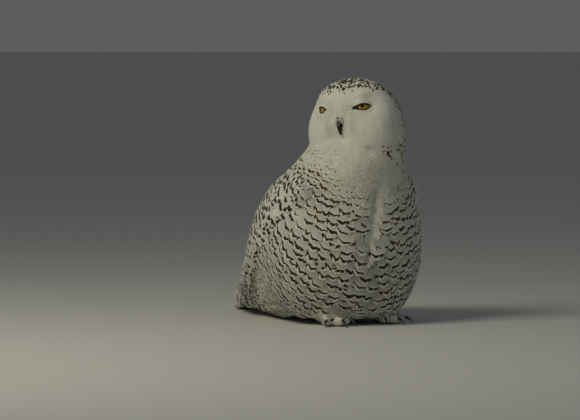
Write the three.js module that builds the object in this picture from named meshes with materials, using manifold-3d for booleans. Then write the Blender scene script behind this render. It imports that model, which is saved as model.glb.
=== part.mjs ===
// Snowy owl, adult female, resting on the ground with her head turned to her right. A still, life-size model.
// Units are millimetres. The owl faces -Y, her left side is +X and +Z is up. The origin is under the middle
// of her bounding box, on the floor that her toes, claws and tail tip rest on.
import * as THREE from 'three';
import { mergeVertices } from 'three/addons/utils/BufferGeometryUtils.js';
import Module from 'manifold-3d';

// ---- Driving dimensions ----
const HEIGHT = 415; // floor to crown, crouched
const HEAD_HALF_WIDTH = 80; // over the plumage, at the cheeks
const HEAD_RISE = 80; // centre of the head to the crown
const HEAD_DROP = 118; // centre of the head to where its form ends inside the neck
const HEAD_FRONT = 46; // centre of the head to the face
const HEAD_BACK = 86; // centre of the head to the nape
const HEAD_CENTRE = new THREE.Vector3(0, -42, HEIGHT - HEAD_RISE);
const HEAD_TURN_DEG = -61; // about Z: the face looks to the owl's right
const HEAD_ROLL_DEG = -6; // about the local Y: the crown leans to the owl's right
const NECK_TOP = 290; // where the head is parted from the neck
const NECK_BOTTOM = 256; // where the neck is parted from the trunk
const BELLY_CLEARANCE = 9; // underside of the belly plumage above the floor
const TAIL_TIP_Y = 342;
const WING_TIP_Y = 290;
const PRIMARIES_FROM_Y = 226; // where the long flight feathers come out from under the coverts
const FLANK_CUT = 14; // how far outwards the wing's bed in the flank is cleared
const EYEBALL_RADIUS = 17;
const EYE_LEVEL = 31.5; // above the head's centre
const EYE_SPREAD = 32; // from the middle of the head to the centre of an eyeball
const EYE_FORWARD = 24.5;
const FOOT_SPREAD = 50; // from the middle to the axis of a foot
const FOOT_Y = -42; // the ball of the foot
const TOE_RADIUS = 11; // the toes are feathered, so they are thick
const SOLE_DEPTH = 1.5; // how far each toe is flattened where it stands on the floor
const CLAW_LENGTH = 25;
const CLAW_RADIUS = 3.5; // at its root
const CLAW_TIP_RADIUS = 0.3;
const CLAW_CURL = 1.15; // radians of an arc that its length is laid along
const GAP = 0.3; // left between solids that touch
const BEYOND = 1000; // further than any part of the owl reaches
const SIDES = { left: 1, right: -1 };

// ---- Materials ----
const finish = (name, color, roughness, metalness = 0) => {
  const material = new THREE.MeshStandardMaterial({ color, roughness, metalness });
  material.name = name;
  return material;
};
const PLUMAGE = finish('white_plumage', 0xe6e6dc, 0.9);
const BARRED = finish('barred_plumage', 0xc9c6b8, 0.9);
const EYE = finish('eye', 0xd08a10, 0.1);
const HORN = finish('horn', 0x17171a, 0.35);

const wasm = await Module();
wasm.setup();

// ---- Small helpers ----
const point = (x, y, z) => new THREE.Vector3(x, y, z);
const radians = THREE.MathUtils.degToRad;

// A smooth function through named stations: rows of numbers, each read as one more channel of a spline.
function stations(rows) {
  const channels = rows[0].length;
  const last = rows.length - 1;
  return (t) => {
    const place = THREE.MathUtils.clamp(t, 0, 1) * last;
    const i = Math.min(Math.floor(place), last - 1);
    const f = place - i;
    const before = rows[Math.max(i - 1, 0)];
    const after = rows[Math.min(i + 2, last)];
    return Array.from({ length: channels }, (_, k) => {
      const slopeIn = (rows[i + 1][k] - before[k]) / (i > 0 ? 2 : 1);
      const slopeOut = (after[k] - rows[i][k]) / (i + 2 <= last ? 2 : 1);
      const a = 2 * rows[i][k] - 2 * rows[i + 1][k] + slopeIn + slopeOut;
      const b = -3 * rows[i][k] + 3 * rows[i + 1][k] - 2 * slopeIn - slopeOut;
      return ((a * f + b) * f + slopeIn) * f + rows[i][k];
    });
  };
}

// Moves every vertex of a geometry by a function of its place.
function reshaped(geometry, place) {
  const at = geometry.getAttribute('position');
  const v = new THREE.Vector3();
  for (let i = 0; i < at.count; i += 1) {
    v.fromBufferAttribute(at, i);
    place(v);
    at.setXYZ(i, v.x, v.y, v.z);
  }
  return geometry;
}

// A unit cylinder reshaped into rings: ring(t, angle) is the edge of the ring at t, and middle(t) its centre.
function lofted(sides, steps, middle, ring) {
  const rod = new THREE.CylinderGeometry(1, 1, 1, sides, steps);
  return reshaped(rod, (v) => {
    const t = THREE.MathUtils.clamp(v.y + 0.5, 0, 1);
    const reach = Math.min(1, Math.hypot(v.x, v.z));
    const edge = ring(t, Math.atan2(v.x, v.z));
    v.copy(middle(t)).lerp(edge, reach);
  });
}

function solidOf(geometry) {
  const bare = geometry.clone();
  bare.deleteAttribute('normal');
  bare.deleteAttribute('uv');
  const merged = mergeVertices(bare, 1e-3);
  const solid = new wasm.Manifold(new wasm.Mesh({
    numProp: 3,
    vertProperties: merged.getAttribute('position').array,
    triVerts: new Uint32Array(merged.index.array),
  }));
  return solid.volume() < 0 ? solidOf(turnedOut(geometry)) : solid;
}

function turnedOut(geometry) {
  const index = geometry.index.array.slice();
  for (let i = 0; i < index.length; i += 3) [index[i + 1], index[i + 2]] = [index[i + 2], index[i + 1]];
  return geometry.clone().setIndex(new THREE.BufferAttribute(index, 1));
}

// The biggest piece of a solid, without the slivers that a cut can leave.
function main(solid) {
  return solid.decompose().sort((a, b) => b.volume() - a.volume())[0];
}

function meshOf(name, solid, material) {
  const { numProp, vertProperties, triVerts } = main(solid).getMesh();
  const geometry = new THREE.BufferGeometry();
  const places = new Float32Array((vertProperties.length / numProp) * 3);
  for (let i = 0; i < places.length / 3; i += 1) {
    places.set(vertProperties.subarray(i * numProp, i * numProp + 3), i * 3);
  }
  geometry.setAttribute('position', new THREE.BufferAttribute(places, 3));
  geometry.setIndex(new THREE.BufferAttribute(triVerts, 1));
  const mesh = new THREE.Mesh(geometry, material);
  mesh.name = name;
  return mesh;
}

// Everything between two heights.
function slab(low, high) {
  const box = new THREE.BoxGeometry(BEYOND, BEYOND, high - low);
  return solidOf(box.translate(0, 0, (low + high) / 2));
}

// Everything between two places along the body.
function slice(from, to) {
  const box = new THREE.BoxGeometry(BEYOND, to - from, BEYOND);
  return solidOf(box.translate(0, (from + to) / 2, 0));
}
const floorCut = (solid) => solid.intersect(slab(0, BEYOND));

// ---- Head: a ball of plumage in its own frame, facing -Y ----
const headPose = new THREE.Matrix4().makeTranslation(HEAD_CENTRE)
  .multiply(new THREE.Matrix4().makeRotationZ(radians(HEAD_TURN_DEG)))
  .multiply(new THREE.Matrix4().makeRotationY(radians(HEAD_ROLL_DEG)));

// Swellings and hollows of the face: direction from the head's centre, width in degrees, height.
const FACE_FORMS = [
  { toward: [0, -1, -0.08], width: 15, height: 1.5 }, // bristles over the bill's base
  { toward: [0, -0.75, 0.72], width: 26, height: 3 }, // forehead
  { toward: [0, -0.8, -0.7], width: 24, height: 1 }, // chin
  ...Object.values(SIDES).flatMap((side) => [
    { toward: [side * 0.73, -0.45, 0.5], width: 13, height: -7 }, // eye hollow
    { toward: [side * 0.62, -0.4, 0.85], width: 16, height: 6 }, // brow
    { toward: [side * 0.82, -0.52, -0.22], width: 29, height: 10 }, // cheek
    { toward: [side * 0.9, 0.35, -0.6], width: 30, height: 5 }, // side of the neck
  ]),
];

function headForm() {
  const forms = FACE_FORMS.map((f) => ({ ...f, toward: point(...f.toward).normalize() }));
  const ball = new THREE.SphereGeometry(1, 32, 20).rotateX(Math.PI / 2);
  return reshaped(ball, (v) => {
    const depth = v.y < 0 ? HEAD_FRONT : HEAD_BACK;
    const half = v.z > 0 ? HEAD_RISE : HEAD_DROP;
    const squareness = 2.12 - 0.14 * v.y; // the face is flatter than the back of the head
    const base = [v.x / HEAD_HALF_WIDTH, v.y / depth, v.z / half]
      .reduce((sum, share) => sum + Math.abs(share) ** squareness, 0) ** (-1 / squareness);
    const bumps = forms.reduce((sum, f) => {
      const turn = THREE.MathUtils.radToDeg(v.angleTo(f.toward)) / f.width;
      return sum + f.height * Math.exp(-turn * turn);
    }, 0);
    v.multiplyScalar(base + bumps);
  });
}

// ---- Trunk and neck: level rings from the belly up into the head ----
// height, half width, reach of the breast (-Y), reach of the back (+Y), how fast the back runs in behind,
// how far the neck leans to her left
const trunkAt = stations([
  [BELLY_CLEARANCE, 62, 62, 70, 1.3, 0],
  [BELLY_CLEARANCE + 7, 94, 86, 128, 1.3, 0],
  [48, 118, 108, 186, 1.35, 0],
  [88, 132, 120, 210, 1.35, 0],
  [131, 137, 124, 190, 1.25, 0],
  [172, 135, 121, 158, 1.1, 0],
  [208, 128, 115, 130, 1, 0],
  [240, 118, 111, 98, 1, 1],
  [266, 100, 113, 58, 1, 6],
  [292, 78, 108, 34, 1, 7],
  [322, 48, 88, 26, 1, 0],
]);

function trunkForm() {
  const middle = (t) => point(0, 0, trunkAt(t)[0]);
  return lofted(32, 15, middle, (t, angle) => {
    const [z, half, breast, back, taper, lean] = trunkAt(t);
    const ahead = Math.cos(angle) > 0;
    const reach = ahead ? -breast : back;
    const narrowing = ahead ? 0.92 : taper;
    const x = lean + half * Math.sign(Math.sin(angle)) * Math.abs(Math.sin(angle)) ** narrowing;
    return point(x, reach * Math.abs(Math.cos(angle)) ** 1.04, z);
  });
}

// ---- Wings: folded, from the bend at the breast to the tips over the tail ----
// middle of the wing x (outwards), y, z; half height, half thickness, lean of the upper edge towards the back
const wingAt = stations([
  [86, -72, 233, 10, 6, 0.3],
  [98, -48, 228, 34, 16, 0.35],
  [105, -4, 213, 52, 21, 0.4],
  [105, 50, 188, 62, 25, 0.45],
  [97, 104, 152, 65, 24, 0.52],
  [78, 157, 111, 64, 19, 0.65],
  [56, 212, 70, 52, 13, 0.85],
  [37, WING_TIP_Y, 31, 20, 5, 1.1],
]);

const WING_SWEEP = 0.25; // how far its upper edge is carried back, for each unit up

function wingForm(side, gap = 0) {
  const middle = (t) => {
    const [x, y, z] = wingAt(t);
    return point(side * x, y, z);
  };
  return lofted(14, 14, middle, (t, angle) => {
    const [, , , half, thick, lean] = wingAt(t);
    const ahead = middle(Math.min(t + 0.01, 1)).sub(middle(Math.max(t - 0.01, 0))).normalize();
    const up = point(-side * lean, WING_SWEEP, 1).normalize();
    const out = ahead.clone().cross(up).normalize().multiplyScalar(side);
    up.crossVectors(out, ahead).multiplyScalar(side);
    return middle(t)
      .addScaledVector(up, (half + gap) * Math.cos(angle))
      .addScaledVector(out, (thick + gap) * Math.sin(angle));
  });
}

// ---- Tail: a closed fan of feathers, its tip on the floor ----
// y, height of its middle, half width, half thickness
const tailAt = stations([
  [115, 80, 40, 20],
  [165, 60, 44, 19],
  [225, 36, 46, 12],
  [285, 16, 46, 7],
  [330, 6.5, 41, 4.5],
  [TAIL_TIP_Y, 3.5, 24, 3.5],
]);

const TAIL_CROWN = 0.002; // per mm

function tailForm(gap = 0) {
  const middle = (t) => point(0, tailAt(t)[0], tailAt(t)[1]);
  return lofted(14, 10, middle, (t, angle) => {
    const [, , half, thick] = tailAt(t);
    const across = (half + gap) * Math.sin(angle);
    const droop = TAIL_CROWN * across * across; // the outer feathers lie lower than the middle ones
    return middle(t).add(point(across, 0, (thick + gap) * Math.cos(angle) - droop));
  });
}

// ---- Legs: short feathered shanks from the belly to the feet ----
const legAt = stations([
  [-10, 74, 30],
  [-14, 48, 27],
  [-20, 26, 21],
  [-24, 12, 15],
]);

function legForm(side, gap = 0) {
  const middle = (t) => point(side * FOOT_SPREAD, legAt(t)[0], legAt(t)[1]);
  return lofted(12, 3, middle, (t, angle) => {
    const radius = legAt(t)[2] + gap;
    return middle(t).add(point(radius * Math.sin(angle), radius * Math.cos(angle), 0));
  });
}

// ---- Feet: three toes ahead and one behind, with thick plumage down to the claws ----
// turn from straight ahead in degrees (outwards), length from the ball of the foot
const TOES = [
  { name: 'inner', turn: -20, length: 44 },
  { name: 'middle', turn: 4, length: 52 },
  { name: 'outer', turn: 34, length: 43 },
  { name: 'hind', turn: 170, length: 26 },
];
const INSTEP = { half: [15, 20, 15], y: FOOT_Y + 8, z: 12 };
const toeWay = (side, toe) => point(side * Math.sin(radians(toe.turn)), -Math.cos(radians(toe.turn)), 0);
const footBall = (side) => point(side * FOOT_SPREAD, FOOT_Y, TOE_RADIUS);

function toeForm(side, toe, gap = 0) {
  const way = toeWay(side, toe);
  const width = TOE_RADIUS + gap;
  const ball = new THREE.SphereGeometry(1, 8, 5);
  return reshaped(ball, (v) => {
    const along = v.z * (toe.length / 2 + TOE_RADIUS / 2 + gap) + toe.length / 2;
    const across = point(-way.y, way.x, 0).multiplyScalar(v.x * width);
    const taper = 1 - 0.1 * v.z;
    const z = TOE_RADIUS - SOLE_DEPTH + v.y * (TOE_RADIUS + gap) * taper;
    v.copy(footBall(side)).addScaledVector(way, along).add(across).setZ(z);
  });
}

function footSolid(side, gap = 0) {
  const { half, y, z } = INSTEP;
  const instep = new THREE.SphereGeometry(1, 8, 5)
    .scale(half[0] + gap, half[1] + gap, half[2] + gap)
    .translate(side * FOOT_SPREAD, y, z);
  const toes = TOES.map((toe) => solidOf(toeForm(side, toe, gap)));
  return floorCut(toes.reduce((all, toe) => all.add(toe), solidOf(instep)));
}

// A claw leaves the toe's end and curves down to the floor.
function clawForm(side, toe, gap = 0) {
  const way = toeWay(side, toe);
  const root = footBall(side).addScaledVector(way, toe.length - CLAW_RADIUS);
  const middle = (t) => {
    const ahead = CLAW_LENGTH * Math.sin(t * CLAW_CURL);
    const height = TOE_RADIUS * (1 - t * t) + 2 * t * (1 - t) + CLAW_TIP_RADIUS * t;
    return root.clone().addScaledVector(way, ahead).setZ(height);
  };
  const across = point(-way.y, way.x, 0);
  return lofted(6, 5, middle, (t, angle) => {
    const radius = (CLAW_RADIUS - CLAW_TIP_RADIUS) * (1 - t) ** 0.7 + CLAW_TIP_RADIUS + gap;
    return middle(t)
      .addScaledVector(across, radius * 0.8 * Math.sin(angle))
      .add(point(0, 0, radius * Math.cos(angle)));
  });
}

// ---- Bill: hooked, mostly hidden by bristles ----
// y, height, half width, half depth, in the head's frame
const upperBillAt = stations([
  [-28, 11, 7.5, 8],
  [-39, 8.5, 6.8, 7.5],
  [-47, 3, 5.4, 6.4],
  [-50.5, -4.5, 3.8, 4.8],
  [-49.8, -11, 2.2, 3],
  [-47.6, -16, 0.5, 0.7],
]);
const lowerBillAt = stations([
  [-28, -5, 5, 3],
  [-40, -8, 4.2, 2.8],
  [-46.8, -13, 2, 1.5],
]);

function billForm(at, gap = 0) {
  const middle = (t) => point(0, at(t)[0], at(t)[1]);
  return lofted(8, 7, middle, (t, angle) => {
    const [, , half, deep] = at(t);
    const ahead = middle(Math.min(t + 0.02, 1)).sub(middle(Math.max(t - 0.02, 0))).normalize();
    const up = point(0, -ahead.z, ahead.y);
    return middle(t)
      .add(point((half + gap) * Math.sin(angle), 0, 0))
      .addScaledVector(up, (deep + gap) * Math.cos(angle));
  });
}

const eyeForm = (side, gap = 0) => new THREE.SphereGeometry(EYEBALL_RADIUS + gap, 14, 10)
  .translate(side * EYE_SPREAD, -EYE_FORWARD, EYE_LEVEL);

// ---- Solids, each cut back from its neighbours by the gap ----
const inHead = (geometry) => solidOf(geometry.applyMatrix4(headPose));
const both = (make) => Object.values(SIDES).map(make).reduce((a, b) => a.add(b));

const tail = floorCut(solidOf(tailForm()));
const tailRoom = solidOf(tailForm(GAP));
const wings = Object.fromEntries(Object.entries(SIDES).map(([name, side]) => [
  name, solidOf(wingForm(side)).subtract(tailRoom),
]));
const wingRoom = both((side) => {
  const room = solidOf(wingForm(side, GAP));
  return room.add(room.translate(side * FLANK_CUT, 0, 0)); // the flank never stands proud of the wing
});
const footRoom = both((side) => TOES.reduce(
  (room, toe) => room.add(solidOf(clawForm(side, toe, GAP))),
  footSolid(side, GAP),
));
const legs = Object.fromEntries(Object.entries(SIDES).map(([name, side]) => [
  name, solidOf(legForm(side)).subtract(footRoom),
]));
const legRoom = both((side) => solidOf(legForm(side, GAP)));
const upperBill = inHead(billForm(upperBillAt));
const upperBillRoom = inHead(billForm(upperBillAt, GAP));
const lowerBill = inHead(billForm(lowerBillAt)).subtract(upperBillRoom);
const billRoom = upperBillRoom.add(inHead(billForm(lowerBillAt, GAP)));
const eyeRoom = both((side) => inHead(eyeForm(side, GAP)));

const flesh = solidOf(trunkForm())
  .add(inHead(headForm()))
  .subtract(wingRoom.add(tailRoom).add(footRoom).add(legRoom));
const head = flesh.intersect(slab(NECK_TOP, BEYOND)).subtract(billRoom).subtract(eyeRoom);
const neck = flesh.intersect(slab(NECK_BOTTOM, NECK_TOP - GAP)).subtract(billRoom).subtract(eyeRoom);
const trunk = flesh.intersect(slab(0, NECK_BOTTOM - GAP));

// ---- The scene graph ----
const owl = new THREE.Group();
owl.add(meshOf('head', head, PLUMAGE));
owl.add(meshOf('neck', neck, PLUMAGE));
owl.add(meshOf('trunk', trunk, BARRED));
owl.add(meshOf('tail', tail, BARRED));
owl.add(meshOf('bill_upper', upperBill, HORN));
owl.add(meshOf('bill_lower', lowerBill, HORN));

// Each folded wing is parted where the long flight feathers come out from under the coverts.
for (const [name, side] of Object.entries(SIDES)) {
  owl.add(meshOf(`wing_${name}`, wings[name].intersect(slice(-BEYOND, PRIMARIES_FROM_Y - GAP)), BARRED));
  owl.add(meshOf(`flight_feathers_${name}`, wings[name].intersect(slice(PRIMARIES_FROM_Y, BEYOND)), BARRED));
  owl.add(meshOf(`eye_${name}`, inHead(eyeForm(side)), EYE));
  owl.add(meshOf(`leg_${name}`, legs[name], PLUMAGE));
  const claws = TOES.map((toe) => solidOf(clawForm(side, toe)));
  const foot = claws.reduce((rest, claw) => rest.subtract(claw), footSolid(side));
  owl.add(meshOf(`foot_${name}`, foot, PLUMAGE));
  TOES.forEach((toe, i) => {
    const outside = claws[i].subtract(footSolid(side, GAP));
    owl.add(meshOf(`claw_${name}_${toe.name}`, outside, HORN));
  });
}

// The origin goes under the middle of the whole owl.
const extent = new THREE.Box3().setFromObject(owl, true);
const centre = extent.getCenter(new THREE.Vector3());
owl.position.set(-centre.x, -centre.y, -extent.min.z);

export default owl;
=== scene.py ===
import math

import bmesh
import bpy
import numpy as np
from mathutils import Matrix, Vector
from mathutils.bvhtree import BVHTree
from mathutils.kdtree import KDTree


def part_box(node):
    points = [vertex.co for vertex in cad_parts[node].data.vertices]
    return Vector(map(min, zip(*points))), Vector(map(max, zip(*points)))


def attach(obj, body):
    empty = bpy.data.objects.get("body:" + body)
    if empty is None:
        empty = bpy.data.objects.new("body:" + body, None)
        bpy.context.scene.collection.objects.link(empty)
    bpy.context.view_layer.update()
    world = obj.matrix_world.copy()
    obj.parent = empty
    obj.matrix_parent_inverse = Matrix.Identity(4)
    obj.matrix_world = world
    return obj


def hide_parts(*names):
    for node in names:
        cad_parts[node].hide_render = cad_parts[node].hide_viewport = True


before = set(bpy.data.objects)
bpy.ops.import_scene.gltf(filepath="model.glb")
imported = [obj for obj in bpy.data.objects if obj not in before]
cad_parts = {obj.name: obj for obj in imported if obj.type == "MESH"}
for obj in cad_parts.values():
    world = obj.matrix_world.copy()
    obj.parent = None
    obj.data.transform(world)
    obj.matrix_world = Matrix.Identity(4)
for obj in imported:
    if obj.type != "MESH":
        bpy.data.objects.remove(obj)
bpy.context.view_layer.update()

MM = 0.001
SIDES = {"left": 1, "right": -1}
random = np.random.default_rng(20)


# ---- Small helpers ----
def unit(vectors):
    """The vectors at a length of 1."""
    return vectors / np.maximum(np.linalg.norm(vectors, axis=-1, keepdims=True), 1e-12)


def step(low, high, values):
    """0 below low, 1 above high, and smooth between."""
    t = np.clip((values - low) / (high - low), 0, 1)
    return t * t * (3 - 2 * t)


def hump(places, middle, reach):
    """1 at the middle, falling away over the reach."""
    return np.exp(-((places - middle) ** 2).sum(-1) / reach ** 2)


def flat_to(normals, vectors):
    """The vectors laid flat on surfaces that have these normals."""
    return unit(vectors - (vectors * normals).sum(-1, keepdims=True) * normals)


def linear(hex_colour):
    """An sRGB hex colour as linear RGBA."""
    parts = [int(hex_colour[i:i + 2], 16) / 255 for i in (1, 3, 5)]
    return [p / 12.92 if p <= 0.04045 else ((p + 0.055) / 1.055) ** 2.4 for p in parts] + [1]


def object_of(name, mesh):
    """A new object with this mesh, in the scene."""
    piece = bpy.data.objects.new(name, mesh)
    bpy.context.scene.collection.objects.link(piece)
    return piece


def from_bmesh(name, bm, smooth=True):
    """A new object made from the bmesh, which is freed."""
    mesh = bpy.data.meshes.new(name)
    bm.to_mesh(mesh)
    bm.free()
    mesh.polygons.foreach_set("use_smooth", [smooth] * len(mesh.polygons))
    return object_of(name, mesh)


def finished(piece, material, slot, *nodes):
    """Gives a piece its material and its body, and hides the nodes that it stands for. The slot is not used.
    """
    piece.data.materials.clear()
    piece.data.materials.append(material)
    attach(piece, "root")
    if nodes:
        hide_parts(*nodes)
    return piece


def copied(*nodes):
    """One bmesh of these nodes' surfaces, each closed."""
    bm = bmesh.new()
    for node_name in nodes:
        bm.from_mesh(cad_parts[node_name].data)
    bmesh.ops.remove_doubles(bm, verts=bm.verts, dist=0.01 * MM)
    return bm


# ---- Where the head is: its own axes, from the two eyeballs ----
EYE_RADIUS = 17 * MM
EYE_FORWARD = 24.5 * MM
EYE_LEVEL = 31.5 * MM


def middle_of(node_name):
    low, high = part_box(node_name)
    return (Vector(low) + Vector(high)) / 2


def head_axes():
    """The head's frame: +X to her left, -Y out of the face, +Z to the crown, its origin in the middle."""
    left, right = middle_of("eye_left"), middle_of("eye_right")
    across = (left - right).normalized()
    back = Vector((0, 0, 1)).cross(across).normalized()
    up = across.cross(back)
    origin = (left + right) / 2 + back * EYE_FORWARD - up * EYE_LEVEL
    return np.array(origin), np.array((across, back, up)).T


HEAD_ORIGIN, HEAD_TURN = head_axes()


def in_head(places):
    return (np.asarray(places) - HEAD_ORIGIN) @ HEAD_TURN


def from_head(places):
    return np.asarray(places) @ HEAD_TURN.T + HEAD_ORIGIN


class Eye:
    """An eye's place and opening, measured out from its middle and up, in the plane across the opening."""

    OPENING_OUT = math.radians(35)  # how far outwards the opening faces
    LOOK_OUT = {"left": math.radians(33), "right": math.radians(38)}  # and the pupil
    LOOK_UP = math.radians(-5)
    SHALLOWEST = 9 * MM  # how far ahead of the eye's middle the corners of its opening stay
    # out from the middle, the upper lid's edge and the lower lid's edge, in millimetres
    OPENING = np.array([
        (-8.6, -3.4, -3.4),
        (-7.0, -1.6, -5.6),
        (-4.5, -0.1, -6.9),
        (-1.0, 0.5, -7.6),
        (3.5, 0.2, -7.7),
        (7.5, -0.6, -7.0),
        (10.5, -1.9, -5.2),
        (12.1, -3.2, -3.2),
    ]) * MM
    # the upper rim is wider than the lower, and its black stands in part for the shade under the upper lid:
    # painted shade
    UPPER_RIM, LOWER_RIM, OUTER_RIM = 2.4 * MM, 1.0 * MM, 2.0 * MM
    INNER_RIM = {"left": 8.5 * MM, "right": 2.4 * MM}
    SHIFT = {"left": (0, 0, 0), "right": (-2.5, 1.8, 1.8)}  # of each column, in millimetres
    POINTS = 72  # round the opening, from the inner corner over the top
    TURN_STEP = 0.03  # of a turn, over which the edge's direction is measured

    def __init__(self, side_name):
        side = SIDES[side_name]
        self.name = side_name
        self.centre = np.array(middle_of(f"eye_{side_name}"))
        s, c = math.sin(self.OPENING_OUT), math.cos(self.OPENING_OUT)
        turns = np.arange(self.POINTS) / self.POINTS
        self.gaze = HEAD_TURN @ (side * s, -c, 0)
        self.out = HEAD_TURN @ (side * c, s, 0)
        self.up = HEAD_TURN[:, 2]
        look, rise = self.LOOK_OUT[side_name], self.LOOK_UP
        self.look = HEAD_TURN @ (side * math.sin(look), -math.cos(look), math.tan(rise))
        self.opening = self.OPENING + np.array(self.SHIFT[side_name]) * MM
        self.edge = self.edge_at(turns)
        self.outward = self.outward_at(turns)
        rim = np.where(turns < 0.5, self.UPPER_RIM, self.LOWER_RIM)
        rim = rim + (self.INNER_RIM[side_name] - rim) * np.clip(-self.outward[:, 0], 0, 1) ** 4
        rim = rim + np.maximum(self.OUTER_RIM - rim, 0) * np.clip(self.outward[:, 0], 0, 1) ** 6
        self.rim = self.edge + self.outward * rim[:, None]

    def edge_at(self, turn):
        """The opening's edge at turns of 0 to 1 round the eye, from the inner corner over the top."""
        angle = 2 * np.pi * turn
        low, high = self.opening[0, 0], self.opening[-1, 0]
        h = (low + high) / 2 - (high - low) / 2 * np.cos(angle)
        upper = np.interp(h, self.opening[:, 0], self.opening[:, 1])
        lower = np.interp(h, self.opening[:, 0], self.opening[:, 2])
        return np.stack([h, np.where(np.sin(angle) >= 0, upper, lower)], -1)

    def outward_at(self, turn):
        """The way out from the edge at each turn, in the same plane."""
        ahead = self.edge_at((turn + self.TURN_STEP) % 1) - self.edge_at((turn - self.TURN_STEP) % 1)
        return unit(np.stack([-ahead[:, 1], ahead[:, 0]], 1))

    def place(self, h, v, radius):
        """The places h out and v up from the middle, on a ball of this radius round it."""
        deep = np.sqrt(np.maximum(radius ** 2 - h ** 2 - v ** 2, self.SHALLOWEST ** 2))
        flat = self.centre + self.out * h[..., None] + self.up * v[..., None]
        return flat + self.gaze * deep[..., None]

    def flat(self, places):
        """How far out, up and forward the places are from the eye's middle."""
        local = places - self.centre
        return local @ self.out, local @ self.up, local @ self.gaze

    def outside(self, places):
        """How far a place lies outside the black rim round the opening, less than 0 inside it."""
        h, v, deep = self.flat(places)
        near = (deep > 0) & (np.hypot(h, v) < 2 * EYE_RADIUS)
        found = np.full(len(places), EYE_RADIUS)
        x, y = h[near][:, None], v[near][:, None]
        (ax, ay), (bx, by) = self.rim.T, np.roll(self.rim, -1, axis=0).T
        dx, dy = bx - ax, by - ay
        t = np.clip(((x - ax) * dx + (y - ay) * dy) / (dx ** 2 + dy ** 2), 0, 1)
        far = np.hypot(x - ax - t * dx, y - ay - t * dy).min(1)
        level = (ay > y) != (by > y)
        crossed = level & (x < ax + (y - ay) * dx / np.where(level, dy, 1))
        found[near] = np.where(crossed.sum(1) % 2 == 1, -far, far)
        return found


EYES = [Eye(name) for name in SIDES]

# ---- The form: all her flesh as one smooth surface, out to the tips of the coat ----
FORM_VOXEL = 3.0 * MM
FLESH = ["head", "neck", "trunk", "tail"] + [
    f"{part}_{side}" for part in ("wing", "flight_feathers", "leg", "foot") for side in SIDES
]


def remeshed(piece, voxel, rounds):
    """The piece's surface made again in even faces, its seams closed and its edges softened."""
    wrap = piece.modifiers.new("wrap", "REMESH")
    wrap.mode = "VOXEL"
    wrap.voxel_size = voxel
    soften = piece.modifiers.new("soften", "SMOOTH")
    soften.factor = 0.5
    soften.iterations = rounds
    seen = piece.evaluated_get(bpy.context.evaluated_depsgraph_get())
    mesh = bpy.data.meshes.new_from_object(seen)
    piece.modifiers.clear()
    old = piece.data
    piece.data = mesh
    bpy.data.meshes.remove(old)


class Surface:
    """A mesh to measure against: nearest points, with smooth normals."""

    CORNER_ROOM = 0.05 * MM  # keeps a corner from counting without end for a place that lies on it
    THICKEST = 60 * MM  # how deep the body is looked through

    def __init__(self, mesh):
        self.at = np.empty(len(mesh.vertices) * 3)
        mesh.vertices.foreach_get("co", self.at)
        self.at = self.at.reshape(-1, 3)
        mesh.calc_loop_triangles()
        self.triangles = np.empty(len(mesh.loop_triangles) * 3, int)
        mesh.loop_triangles.foreach_get("vertices", self.triangles)
        self.triangles = self.triangles.reshape(-1, 3)
        corner = self.at[self.triangles]
        cross = np.cross(corner[:, 1] - corner[:, 0], corner[:, 2] - corner[:, 0])
        self.area = np.linalg.norm(cross, axis=1) / 2
        sums = np.zeros_like(self.at)
        for i in range(3):
            np.add.at(sums, self.triangles[:, i], cross)
        self.normal = unit(sums)
        self.tree = BVHTree.FromPolygons(self.at.tolist(), self.triangles.tolist())

    def found(self, places):
        """The nearest point to each place, the corners of its face and how much each corner counts."""
        found = [self.tree.find_nearest(place) for place in places.tolist()]
        on = np.array([f[0] for f in found])
        corners = self.triangles[[f[2] for f in found]]
        share = 1 / (np.linalg.norm(self.at[corners] - on[:, None], axis=2) + self.CORNER_ROOM)
        return on, corners, share / share.sum(1, keepdims=True)

    def nearest(self, places):
        """The nearest points of the surface, and its normals there."""
        on, corners, share = self.found(places)
        return on, unit((self.normal[corners] * share[..., None]).sum(1))

    def value(self, places, values):
        """The values, which belong to the vertices, at these places."""
        corners, share = self.found(places)[1:]
        return (values[corners] * share).sum(1)

    def far(self, places):
        """How far each place is from the surface."""
        return np.array([self.tree.find_nearest(place)[3] for place in places.tolist()])

    def thickness(self):
        """How thick the body is behind each vertex."""
        start, inward = (self.at - self.normal * 0.5 * MM).tolist(), (-self.normal).tolist()
        hits = [self.tree.ray_cast(a, b, self.THICKEST)[3] for a, b in zip(start, inward)]
        return np.array([self.THICKEST if hit is None else hit for hit in hits])

    def evened(self, values, rounds):
        """The vertices' values, each moved towards its neighbours'."""
        ends = np.concatenate([self.triangles[:, edge] for edge in ((0, 1), (1, 2), (2, 0))])
        for _ in range(rounds):
            total = np.bincount(ends[:, 0], values[ends[:, 1]], len(values))
            count = np.bincount(ends[:, 0], minlength=len(values))
            values = (values + total) / (1 + count)
        return values

    def scattered(self, count, weight):
        """Random points, more of them where the weight, which belongs to the vertices, is greater."""
        chance = self.area * weight[self.triangles].mean(1)
        pick = random.choice(len(chance), count, p=chance / chance.sum())
        a, b = random.random((2, count, 1))
        flip = a + b > 1  # into the face's other half, so that all places in it are as likely
        a, b = np.where(flip, 1 - a, a), np.where(flip, 1 - b, b)
        shares = np.concatenate([1 - a - b, a, b], axis=1)[..., None]
        corners = self.triangles[pick]
        return (self.at[corners] * shares).sum(1), unit((self.normal[corners] * shares).sum(1))


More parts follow.
